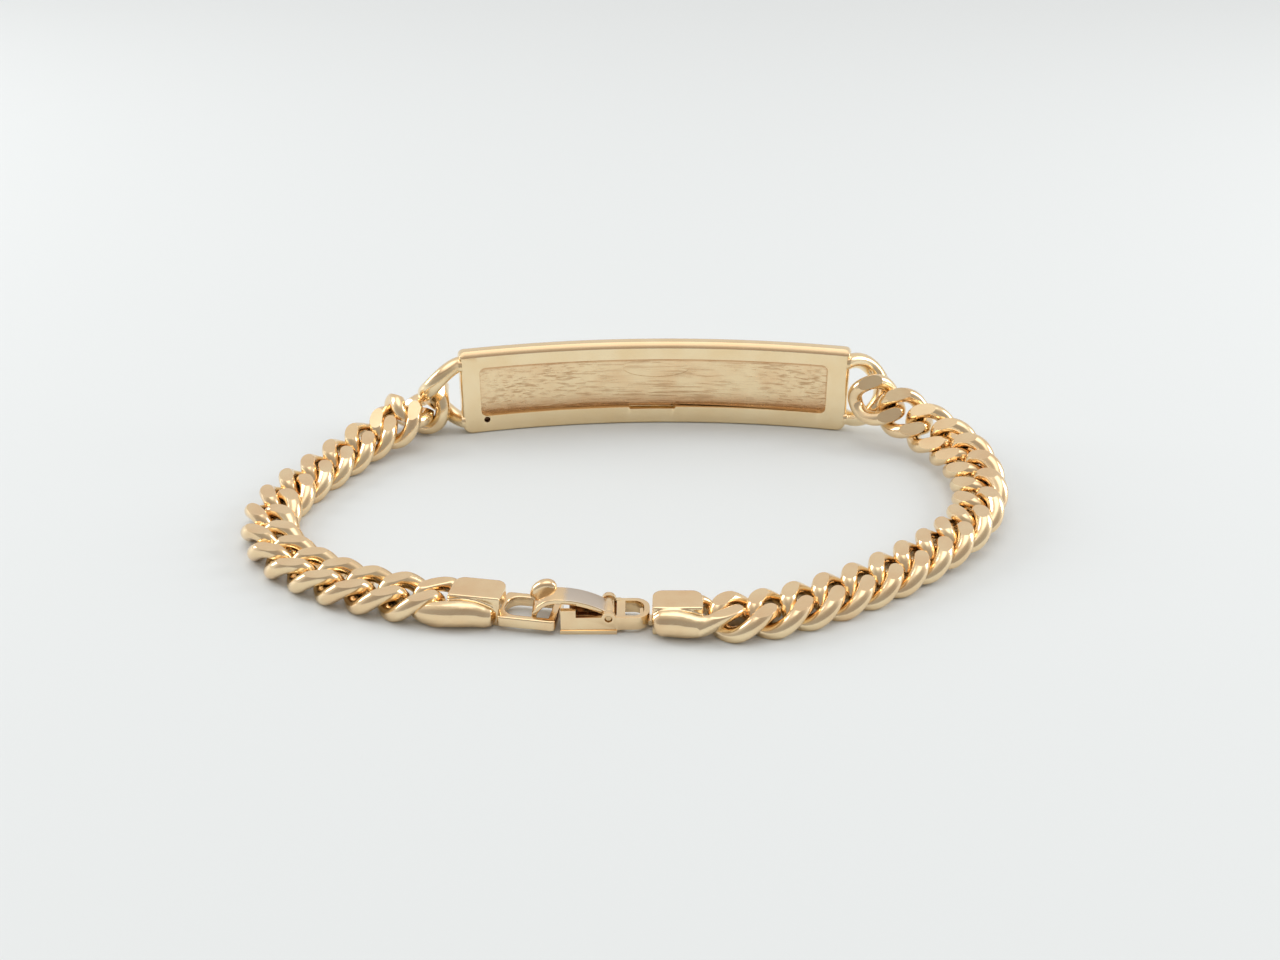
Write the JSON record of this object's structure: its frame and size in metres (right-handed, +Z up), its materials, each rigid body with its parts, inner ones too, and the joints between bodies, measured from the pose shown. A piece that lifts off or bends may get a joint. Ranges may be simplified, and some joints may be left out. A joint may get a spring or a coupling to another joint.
{
  "type": "identity bracelet",
  "caption": "Gold curb-chain identity bracelet with a curved blank plate and a fold-over clasp, lying closed in a loop.",
  "frame": {"origin": "on the table under the middle of the bracelet's bounding box", "axes": "+X to the right along the plate, +Y from the clasp to the plate, +Z up from the table"},
  "size_m": [0.0695, 0.0412, 0.0089],
  "materials": {
    "plate_gold": "polished yellow gold plating, brushed floor in the recess",
    "chain_gold": "polished yellow gold plating, ground flats on the links",
    "clasp_gold": "polished yellow gold plating",
    "pin_gold": "darker yellow gold plating"
  },
  "bodies": {
    "bracelet": {"id_plate": "plate_gold", "link_right_01": "chain_gold", "link_right_02": "chain_gold", "link_right_03": "chain_gold", "link_right_04": "chain_gold", "link_right_05": "chain_gold", "link_right_06": "chain_gold", "link_right_07": "chain_gold", "link_right_08": "chain_gold", "link_right_09": "chain_gold", "link_right_10": "chain_gold", "link_right_11": "chain_gold", "link_right_12": "chain_gold", "link_right_13": "chain_gold", "link_right_14": "chain_gold", "link_right_15": "chain_gold", "link_right_16": "chain_gold", "link_right_17": "chain_gold", "link_left_01": "chain_gold", "link_left_02": "chain_gold", "link_left_03": "chain_gold", "link_left_04": "chain_gold", "link_left_05": "chain_gold", "link_left_06": "chain_gold", "link_left_07": "chain_gold", "link_left_08": "chain_gold", "link_left_09": "chain_gold", "link_left_10": "chain_gold", "link_left_11": "chain_gold", "link_left_12": "chain_gold", "link_left_13": "chain_gold", "link_left_14": "chain_gold", "link_left_15": "chain_gold", "link_left_16": "chain_gold", "cap_right": "clasp_gold", "cap_left": "clasp_gold", "clasp_base": "clasp_gold", "clasp_pin": "pin_gold"},
    "cover": {"clasp_cover": "clasp_gold"}
  },
  "joints": [
    {"name": "cover_hinge", "type": "hinge", "parent": "bracelet", "child": "cover", "pos_m": [-0.00158, -0.01732, 0.0014], "axis": [0, 1, 0], "range_deg": [0, 105]}
  ]
}
